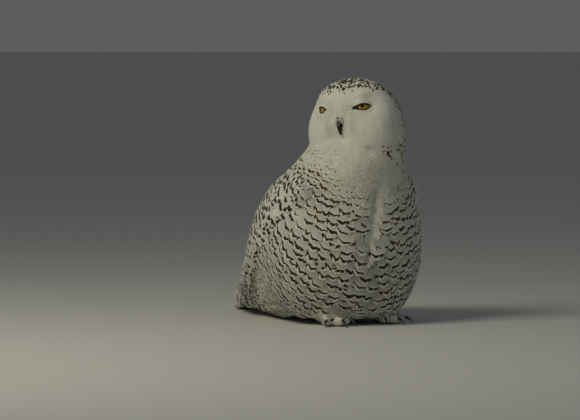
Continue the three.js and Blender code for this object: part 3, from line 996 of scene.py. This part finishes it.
def eye_material():
    """A wet eye: an amber iris round a black pupil under a clear cornea, so it glints."""
    material, tree, shader = material_of("wet_amber_eye", {
        "Roughness": 0.25, "Specular IOR Level": 0.3, "Coat Weight": 0.4, "Coat Roughness": 0.04})
    off = node(tree, "ShaderNodeAttribute", {"attribute_name": "off_gaze"})
    ring = node(tree, "ShaderNodeValToRGB", inputs={"Fac": off.outputs["Fac"]})
    ramp = ring.color_ramp
    while len(ramp.elements) < len(EYE_RINGS):
        ramp.elements.new(0.5)
    for element, (place, colour) in zip(ramp.elements, EYE_RINGS):
        element.position = place
        element.color = linear(colour)
    tree.links.new(ring.outputs["Color"], shader.inputs["Base Color"])
    return material


PLUMAGE = feather_material("matt_white_and_brown_feather")
# The skin is all down, in the colours of the feathers over it and too fine to show any streaks.
SKIN = feather_material("downy_skin_under_feathers", streaked=False)
EYE = eye_material()
# Bill and claws are black keratin, worn to a dull polish.
HORN = simple("polished_black_horn", "#15130F", 0.32)
# Bare black skin, moist from the eye, so that its edge shines a little.
LID = simple("black_wet_eyelid_skin", "#0B0908", 0.35)

# ---- The skin: the form drawn in by the depth of the coat ----
BODY_DEPTH, HEAD_DEPTH = 5 * MM, 2.5 * MM
DEEPEST_SHARE = 0.25  # of the body's thickness there
SKIN_OVER_EYEBALL = 0.4 * MM


def coat_depths():
    """How deep the coat is at each vertex of the form."""
    share = head_share(form.at)
    depths = BODY_DEPTH * (1 - share) + HEAD_DEPTH * share
    return form.evened(np.minimum(depths, DEEPEST_SHARE * form.thickness()), 4)


def skin_places():
    """The form's vertices drawn in, but not into the eyeballs."""
    at = form.at - form.normal * depths[:, None]
    for eye in EYES:
        away = at - eye.centre
        out = np.maximum(EYE_RADIUS + SKIN_OVER_EYEBALL - np.linalg.norm(away, axis=1), 0)
        beside = (eye.outside(form.at) > 0.5 * MM) * (away @ eye.gaze > 0)
        at = at + unit(away) * (out * beside)[:, None]
    at[:, 2] = np.maximum(at[:, 2], LOWEST)
    return at


depths = coat_depths()
inner = skin_places()
skin = object_of("skin", form_piece.data)
skin.data.vertices.foreach_set("co", inner.ravel())
skin.data.update()
bpy.data.objects.remove(form_piece)

# ---- The coat ----
CANDIDATES = 220000  # random places from which the feathers' roots are chosen
EASED_GAP = 6 * MM  # feathers further apart than this are moved until they stand evenly
SMALL_GAP = 5.6 * MM  # feathers closer than this are the small ones of the head, the feet and the bib
LENGTH_TO_GAP = 2.4
WIDTH_TO_GAP, SMALL_WIDTH_TO_GAP = 1.12, 0.78  # half the width
FLIGHT_FROM_Y = 62 * MM  # behind this the wings carry long flight feathers in place of coverts
RECTRICES_FROM_Y = 120 * MM  # and behind this the tail its own
HEAD_COAT_FROM = 296 * MM  # above this the feathers are in the head's piece of the coat
BREAST_COAT_TO_Y = -150 * MM  # and below it and before this in the breast's
RIM_ROOM = 0.3 * MM  # feathers keep this far off the black rim of an eye
BEND_OF_WING = np.array((-95, -182, 232)) * MM  # brown breast feathers cover her right wing here
BEND_REACH = 24 * MM
LORE_GREY_AND_SHADE = [((15, -47, 22), 11), ((40, -36, 14), 9)]  # places before and under the eye where the feathers' bases are greyed, partly for a greyish tint and partly as painted shade in the hollows there, and their reach


def rooted():
    """The roots of the feathers, at the spacing that each place has, and the form's normals there."""
    spots, _ = form.scattered(CANDIDATES, 1 / size_of(form.at)[:, 0] ** 2)
    gaps = size_of(spots)[:, 0]
    chosen = thinned(spots, gaps)
    spots, gaps = spots[chosen], gaps[chosen]
    big = gaps > EASED_GAP
    spots[big] = eased(spots[big], gaps[big], 12)
    return form.nearest(spots)


spots, facing = rooted()
x, y, z = spots.T
gaps, relative, bars, dots = size_of(spots).T
small = gaps < SMALL_GAP
lie = lie_of(spots, facing)
lie = unit(lie + random.normal(0, 0.10, len(spots))[:, None] * np.cross(lie, facing))
lengths = gaps * LENGTH_TO_GAP * relative * random.uniform(0.9, 1.12, len(spots))
widths = gaps * np.where(small, SMALL_WIDTH_TO_GAP, WIDTH_TO_GAP) * random.uniform(0.85, 1.15, len(spots))
points, ups = routes(form, spots, facing, lie, lengths, 3)
covert = np.max([wing.share(spots) for wing in WINGS.values()], axis=0) > 0.5

# the marks are browner high on the breast than low, and darker on the head and the wings
tones = random.random(len(spots))
tones = tones * 0.5 + (0.1 + 0.4 * tones) * step(180 * MM, 235 * MM, z)
tones = tones * np.where(z > HEAD_TO, 0.4, 1)
tones = np.where(covert, 0.35 * tones, tones)

# the roots lie deep in the coat, but less so round the eyes, and the tips stand up a little
near_eye = np.max([hump(spots, eye.centre, 26 * MM) for eye in EYES], axis=0)
down = np.minimum(form.value(spots, depths) * 0.9, 0.07 * lengths) * (1 - 0.8 * near_eye)
up = 0.02 * lengths * random.uniform(0.0, 1.0, len(spots))

# bars and spots fall to the feathers by chance, as strongly as the map says
dice = random.random(len(spots))
at_bend = hump(spots, BEND_OF_WING, BEND_REACH)
browned = at_bend > 0.25
barred = ((bars > dice) | browned) & ~small
dotted = (np.where(small, 0, bars) + dots > dice) & ~barred
faint = (barred & (bars < 0.8) & ~browned) | (~barred & ~dotted & ~small & (bars > 0.1))
barred = barred | faint
kinds = {
    "small": small & ~dotted,
    "small_dark": small & dotted,
    "plain": ~small & ~dotted & ~barred,
    "spotted": ~small & dotted,
    "faint": faint,
    "barred": barred & ~faint,
}

# the feathers' bases are greyed: a little on spotted ones; before and under the eyes, partly for a greyish
# tint and partly as painted shade in the hollows there; on barred ones, partly for their grey down and partly
# as painted shade that grows the lower they lie, where the belly turns from the light; and more at the bend
# of her right wing
local = in_head(spots) * np.where(in_head(spots)[:, :1] < 0, (-1, 1, 1), (1, 1, 1))
lore_grey_and_shade = sum(hump(local, np.array(place) * MM, reach * MM) for place, reach in LORE_GREY_AND_SHADE)
grey_base_and_shade = np.where(dotted & ~small, 0.25, 0.5 * lore_grey_and_shade)
grey_base_and_shade = np.where(barred, 0.85 - 0.6 * step(60 * MM, 220 * MM, z), grey_base_and_shade) + 0.5 * at_bend

# no feather lies over an eye, or where the long feathers of the wings and the tail are
clear = ~(covert & (y > FLIGHT_FROM_Y)) & ~((TAIL.share(spots) > 0.5) & (y > RECTRICES_FROM_Y))
for eye in EYES:
    for along in points.transpose(1, 0, 2):
        clear &= eye.outside(along) > RIM_ROOM

on_head = z > HEAD_COAT_FROM
on_breast = ~on_head & (y < BREAST_COAT_TO_Y)
zones = {
    "coat_head": on_head,
    "coat_breast": on_breast,
    "coat_left": ~on_head & ~on_breast & (x > 0),
    "coat_right": ~on_head & ~on_breast & (x <= 0),
}
coats = {}
for name, here in zones.items():
    coats[name] = Coat(name)
    for kind, members in kinds.items():
        members = np.flatnonzero(members & here & clear)
        shapes = SHAPES[kind]
        for n, shape in enumerate(shapes):
            mine = members[n::len(shapes)]
            feathers = [values[mine] for values in (points, ups, widths, down, up, tones, grey_base_and_shade)]
            coats[name].lay(shape, *feathers)

# ---- The short feathers round the eyes, and the bristles over the bill ----
# Places here are millimetres in the head's frame.
RINGS_ROUND_EYE = [(0.1, 4.5), (1.4, 6), (3.0, 7.5), (4.8, 9)]  # distance from the rim and length
AROUND_BILL = 90
BRISTLES = 180  # on each side
ROOT_DOWN = 0.2 * MM  # how deep their roots lie in the coat


def laid_small(coat, roots, facing, ways, lengths, width, lift):
    """Small feathers along the form, from these roots."""
    path, above = routes(form, roots, facing, flat_to(facing, ways), lengths, 3)
    many = np.ones(len(roots))
    coat.lay(SHAPES["small"][0], path, above, width * many, ROOT_DOWN * many, lift * many,
             0.4 * random.random(len(roots)))


def round_eye(coat, eye):
    """Rings of short feathers that point away from the rim."""
    count = eye.POINTS
    for far, long in RINGS_ROUND_EYE:
        shift = random.uniform(-0.3, 0.3, count) / count
        outward = unit(eye.outward_at(np.arange(count) / count + shift) + eye.outward)
        flat = eye.rim + outward * far * MM
        roots = eye.place(flat[:, 0], flat[:, 1], EYE_RADIUS + 1.3 * MM)
        ways = eye.out * outward[:, :1] + eye.up * outward[:, 1:] + random.normal(0, 0.12, (count, 3))
        roots, facing = form.nearest(roots)
        laid_small(coat, roots, facing, ways, long * MM * random.uniform(0.8, 1.2, count), 1.1 * MM, 0.5 * MM)


def round_bill(coat):
    """Short feathers that spread from the base of the bill."""
    angle = random.uniform(-0.35, math.pi + 0.35, AROUND_BILL)
    spread = np.stack([np.cos(angle), 0 * angle, np.sin(angle)], 1)
    far = random.uniform(0.75, 1.15, (AROUND_BILL, 1))
    roots, facing = form.nearest(from_head((np.array((0, -48, 5)) + spread * np.array((6, 1, 8)) * far) * MM))
    ways = unit(spread + random.normal(0, 0.15, (AROUND_BILL, 3)) + (0, -0.3, 0)) @ HEAD_TURN.T
    laid_small(coat, roots, facing, ways, random.uniform(7, 10, AROUND_BILL) * MM, 1.1 * MM, 0.8 * MM)


def bristled(coat, side):
    """Fine white bristles that sweep down beside the bill and close over its base, and a fan on the cheek."""
    f, g = random.random((2, BRISTLES))  # down the side of the bill, and out from it
    inward = np.clip(1 - 2.5 * f, 0, 1)
    start = np.array([5.6 + 2.0 * f + 1.5 * g, -45.5 + 1.5 * f, 17 - 21 * f]).T * (side, 1, 1)
    reach = np.array([-5.5 * inward - 1 + 3 * g, -7.5 * inward - 2.5, -7 - 3 * f]).T * (side, 1, 1)
    steps = np.linspace(0, 1, 4)
    bend = np.array((side, -1, 0)) * (steps * (1 - steps) * 4)[:, None]  # out and forwards half way along
    jitter = random.normal(0, 0.6, (BRISTLES, 3))
    path = start[:, None] + (reach + jitter)[:, None] * steps[None, :, None] + bend[None]
    above = np.tile(unit(np.array((side * 0.5, -1, 0.35)) @ HEAD_TURN.T), (BRISTLES, 4, 1))
    many = np.ones(BRISTLES)
    coat.lay(SHAPES["small"][1], from_head(path * MM), above, 0.6 * MM * many, ROOT_DOWN * many, 0 * many,
             0.4 * random.random(BRISTLES))
    fan = random.uniform(-0.5, 0.9, BRISTLES)
    start = np.array([7 + 5 * f, -46 + 0 * f, 12 - 20 * g]).T * (side, 1, 1)
    roots, facing = form.nearest(from_head(start * MM))
    ways = np.array([side * np.cos(fan), 0 * fan, -np.sin(fan)]).T @ HEAD_TURN.T
    laid_small(coat, roots, facing, ways, random.uniform(12, 25, BRISTLES) * MM, 0.4 * MM, 0.7 * MM)


FLANK_COUNT = 170  # on each side
FLANK_IN, FLANK_BACK, FLANK_FRONT, FLANK_LOW, FLANK_HIGH = 55 * MM, 15 * MM, -75 * MM, 12 * MM, 92 * MM
SHORTEST, LONGEST = 42 * MM, 108 * MM
FLANK_WIDTH = 7.5 * MM
FLANK_CLEAR = 1.2 * MM  # how far the flank feathers stay off the form
BRIDGING = 12 * MM  # this far off the form they no longer face the way it does


def flank(coat, side):
    """The long feathers of the flank, which run back from the belly over the hollow beside the tail."""
    x, y, z = form.at.T
    here = (x * side > FLANK_IN) & (y > FLANK_FRONT) & (y < FLANK_BACK) & (z > FLANK_LOW) & (z < FLANK_HIGH)
    here &= np.max([wing.share(form.at) for wing in WINGS.values()], axis=0) < 0.5
    roots, _ = form.scattered(FLANK_COUNT, here.astype(float))
    rise = (roots[:, 2] - FLANK_LOW) / (FLANK_HIGH - FLANK_LOW)
    # they all point at the side of the tail, those with higher roots at a higher place
    target = np.stack([side * (62 + 22 * rise), 0 * rise + 100, 6 + 34 * rise], 1) * MM
    ways = unit(target - roots)
    lengths = random.uniform(SHORTEST, LONGEST, FLANK_COUNT)
    steps = np.linspace(0, 1, 7)
    path = roots[:, None] + ways[:, None] * (lengths[:, None] * steps)[..., None]
    on, face = form.nearest(path.reshape(-1, 3))
    on, face = on.reshape(path.shape), face.reshape(path.shape)
    high = ((path - on) * face).sum(-1, keepdims=True)
    path = path + face * np.maximum(FLANK_CLEAR - high, 0)
    above = unit(face * np.clip(1 - high / BRIDGING, 0.15, 1) + np.array((side, -0.25, -0.15)) * 0.6)
    short = 1 - lengths / LONGEST
    shapes = SHAPES["flank"]
    for n, shape in enumerate(shapes):
        mine = np.arange(n, FLANK_COUNT, len(shapes))
        many = np.ones(len(mine))
        # their bases are greyed, partly for grey down and partly as painted shade under the feathers over
        # them
        coat.lay(shape, path[mine], above[mine], FLANK_WIDTH * many, 2 * MM * many, 4 * MM * short[mine],
                 0.6 * random.random(len(mine)), grey_base_and_shade=0.6)


for eye in EYES:
    round_eye(coats["coat_head"], eye)
round_bill(coats["coat_head"])
for side in SIDES.values():
    bristled(coats["coat_head"], side)
for side_name, side in SIDES.items():
    flank(coats[f"coat_{side_name}"], side)

# ---- Long feathers of the wings and tail ----
FLIGHT_COUNT, FLIGHT_WIDTH = 9, 12.5 * MM  # on each side of a wing, and half a feather's width
FLIGHT_LIFT, FLIGHT_STEP = 0.8 * MM, 0.35 * MM  # how far the lowest tip stands out, and each next one more
RECTRIX_COUNT, RECTRIX_WIDTH = 11, 13 * MM  # above and below


def laid_long(coat, kind, number, path, above, width, lift):
    """One long feather."""
    shape = SHAPES[kind][number % len(SHAPES[kind])]
    # its base is greyed, partly for grey down and partly as painted shade under the feathers over it
    coat.lay(shape, path, above, np.array([width]), np.array([2 * MM]), np.array([lift]),
             random.random(1) * 0.6, grey_base_and_shade=0.5, round_off=0.3)


def flight(coat, wing, side):
    """The flight feathers of a folded wing, on its outer and inner side, each over the one below."""
    for outward in (-side, side):
        for n in range(FLIGHT_COUNT):
            f = n / (FLIGHT_COUNT - 1)  # 0 at the lower edge of the wing, 1 at the upper
            path, above = wing.route((40 - 25 * f) * MM, wing.back + (6 - 22 * f ** 2) * MM,
                                     (0, 0, -0.86 + 1.74 * f), (outward, 0, 0.2 * f))
            laid_long(coat, "long", n, path, above, FLIGHT_WIDTH, FLIGHT_LIFT + FLIGHT_STEP * n)


def rectrices(coat):
    """The tail's feathers, fanned out above and below it."""
    for start, upper in ((40 * MM, -1), (60 * MM, 1)):
        for n in range(RECTRIX_COUNT):
            across = 2 * n / (RECTRIX_COUNT - 1) - 1  # 0 in the middle of the tail
            path, above = TAIL.route(start, TAIL.back + (4 - 12 * across ** 2) * MM,
                                     (0.9 * across, 0, 0), (0, 0, upper))
            laid_long(coat, "tail", n, path, above, RECTRIX_WIDTH, (0.6 + 2.2 * (1 - abs(across))) * MM)


for side_name, side in SIDES.items():
    name = f"flight_{side_name}"
    coats[name] = Coat(name)
    flight(coats[name], WINGS[side_name], side)
coats["tail_feathers"] = Coat("tail_feathers")
rectrices(coats["tail_feathers"])
for name, coat in coats.items():
    finished(coat.piece(), PLUMAGE, "white_plumage" if name == "coat_head" else "barred_plumage")


# ---- The skin takes the marks of the feathers over it ----
MARK_REACH = 0.8 * MM  # a place takes the mark of a dark face this much further off than the coat is deep


def under_dark(places):
    """Which places of the skin lie under a feather's dark mark."""
    dark_places = np.concatenate([coat.dark_places for coat in coats.values()])
    tree = KDTree(len(dark_places))
    for n, place in enumerate(dark_places.tolist()):
        tree.insert(place, n)
    tree.balance()
    return np.array([tree.find(place)[2] for place in places.tolist()]) < depths + MARK_REACH


colour = np.ones((len(inner), 4))
colour[:, 0] = under_dark(inner)
colour[:, 1] = 0.5
# the last channel greys the skin a little, as on the feathers' bases: grey down and painted shade
colour[:, 3] = 0.3
skin.data.color_attributes.new("plume", "FLOAT_COLOR", "POINT").data.foreach_set("color", colour.ravel())
finished(skin, SKIN, "white_plumage", *FLESH)


# ---- Eyes ----
def eyeball(eye):
    """An eyeball, with how far each corner lies from the gaze as an angle."""
    bm = bmesh.new()
    bmesh.ops.create_uvsphere(bm, u_segments=40, v_segments=40, radius=EYE_RADIUS)
    turn = Vector(eye.look).to_track_quat("Z", "Y").to_matrix().to_4x4()
    bmesh.ops.transform(bm, matrix=Matrix.Translation(eye.centre) @ turn, verts=bm.verts)
    layer = bm.verts.layers.float.new("off_gaze")
    for v in bm.verts:
        v[layer] = (v.co - Vector(eye.centre)).angle(Vector(eye.look))
    return finished(from_bmesh(f"eyeball_{eye.name}", bm), EYE, "eye", f"eye_{eye.name}")


LID_RINGS = [  # how far out from the opening's edge, as a share of the rim and in millimetres, and height
    (0, -0.5, -0.4),
    (0, 0, 0.7),
    (0.5, 0, 1.3),
    (1, 0, 1.2),
]
LID_HEMS = [(0.7, 1.0), (2.0, 2.0)]  # then rings this far beyond the rim and this deep in the coat


def eyelids(eye):
    """The black skin of both lids, from inside the opening's edge out under the small feathers."""
    around, rings = eye.POINTS, len(LID_RINGS) + len(LID_HEMS) - 1
    bm = bmesh.new()
    bmesh.ops.create_grid(bm, x_segments=around, y_segments=rings, size=0.5)
    for v in bm.verts:
        i, j = round((v.co.x + 0.5) * around) % around, round((v.co.y + 0.5) * rings)
        of_rim, extra, height = LID_RINGS[min(j, len(LID_RINGS) - 1)]
        hem, deep = LID_HEMS[j - len(LID_RINGS)] if j >= len(LID_RINGS) else (0, 0)
        flat = eye.edge[i] * (1 - of_rim) + eye.rim[i] * of_rim
        h, w = flat + eye.outward[i] * (extra + hem) * MM
        place = eye.place(np.array([h]), np.array([w]), EYE_RADIUS + height * MM)
        if hem:
            on, face = form.nearest(place)
            place = on - face * deep * MM
        v.co = place[0]
    bmesh.ops.remove_doubles(bm, verts=bm.verts, dist=0.02 * MM)
    bmesh.ops.recalc_face_normals(bm, faces=bm.faces)
    return finished(from_bmesh(f"eyelids_{eye.name}", bm), LID, "eye")


for eye in EYES:
    eyeball(eye)
    eyelids(eye)


# ---- Bill and claws ----
def smoothed(name, node_name):
    """A horn piece in the solid's own shape, with its facets rounded off."""
    bm = copied(node_name)
    bmesh.ops.join_triangles(bm, faces=bm.faces, angle_face_threshold=0.7, angle_shape_threshold=0.7)
    piece = from_bmesh(name, bm)
    soften = piece.modifiers.new("soften", "SUBSURF")
    soften.levels = soften.render_levels = 2
    return finished(piece, HORN, "horn", node_name)


for part in ("upper", "lower"):
    smoothed(f"bill_{part}_horn", f"bill_{part}")
for side_name in SIDES:
    for toe in ("inner", "middle", "outer", "hind"):
        smoothed(f"claw_{side_name}_{toe}_horn", f"claw_{side_name}_{toe}")

# ---- Floor, light and camera ----
CAMERA_AZIMUTH, CAMERA_ELEVATION = math.radians(-28), math.radians(3)
CAMERA_DISTANCE = 6.0
FRAME_WIDTH = 0.986  # what the camera sees across, at the owl
AIM_LEFT, AIM_UP = 0.090, 0.190  # the middle of the view, from a point on the floor under the owl's body
BODY_MIDDLE_Y = -0.1088
FLOOR_RADIUS = 60
LIGHTS_AIM_UP = 0.2


def from_direction(azimuth, elevation):
    """The way from the owl to a place at this azimuth, from her front towards her left, and elevation."""
    level = math.cos(elevation)
    return Vector((math.sin(azimuth) * level, -math.cos(azimuth) * level, math.sin(elevation)))


def place_camera():
    """A camera level with the owl, a little above the floor, that sees her from her right front."""
    right = Vector((math.cos(CAMERA_AZIMUTH), math.sin(CAMERA_AZIMUTH), 0))
    back = from_direction(CAMERA_AZIMUTH, CAMERA_ELEVATION)
    up = back.cross(right)
    aim = Vector((0, BODY_MIDDLE_Y, 0)) - right * AIM_LEFT + up * AIM_UP
    data = bpy.data.cameras.new("camera")
    data.sensor_width = 36
    data.lens = data.sensor_width * CAMERA_DISTANCE / FRAME_WIDTH
    camera = bpy.data.objects.new("camera", data)
    turn = Matrix((right, up, back)).transposed().to_4x4()
    camera.matrix_world = Matrix.Translation(aim + back * CAMERA_DISTANCE) @ turn
    bpy.context.scene.collection.objects.link(camera)
    bpy.context.scene.camera = camera


def area_light(name, azimuth, elevation, distance, size, power, colour):
    """A square lamp that faces the owl from this direction, given in degrees."""
    away = from_direction(math.radians(azimuth), math.radians(elevation))
    data = bpy.data.lights.new(name, "AREA")
    data.size = size
    data.energy = power
    data.color = linear(colour)[:3]
    light = bpy.data.objects.new(name, data)
    light.location = away * distance + Vector((0, 0, LIGHTS_AIM_UP))
    light.rotation_euler = away.to_track_quat("Z", "Y").to_euler()
    bpy.context.scene.collection.objects.link(light)


place_camera()
area_light("key", azimuth=-72, elevation=42, distance=2.2, size=0.9, power=19, colour="#FAF5DF")
area_light("fill", azimuth=25, elevation=25, distance=2.6, size=1.6, power=1.0, colour="#EAF0FF")
world = bpy.data.worlds.new("studio")
world.use_nodes = True
background = world.node_tree.nodes["Background"]
background.inputs["Color"].default_value = linear("#D9DCE0")
background.inputs["Strength"].default_value = 0.15
bpy.context.scene.world = world
bpy.context.scene.view_settings.view_transform = "Standard"

floor_bm = bmesh.new()
bmesh.ops.create_circle(floor_bm, cap_ends=True, segments=96, radius=FLOOR_RADIUS)
floor = from_bmesh("floor", floor_bm, smooth=False)
floor.data.materials.append(simple("pale_floor_paint", "#D6D6D2", 0.9))
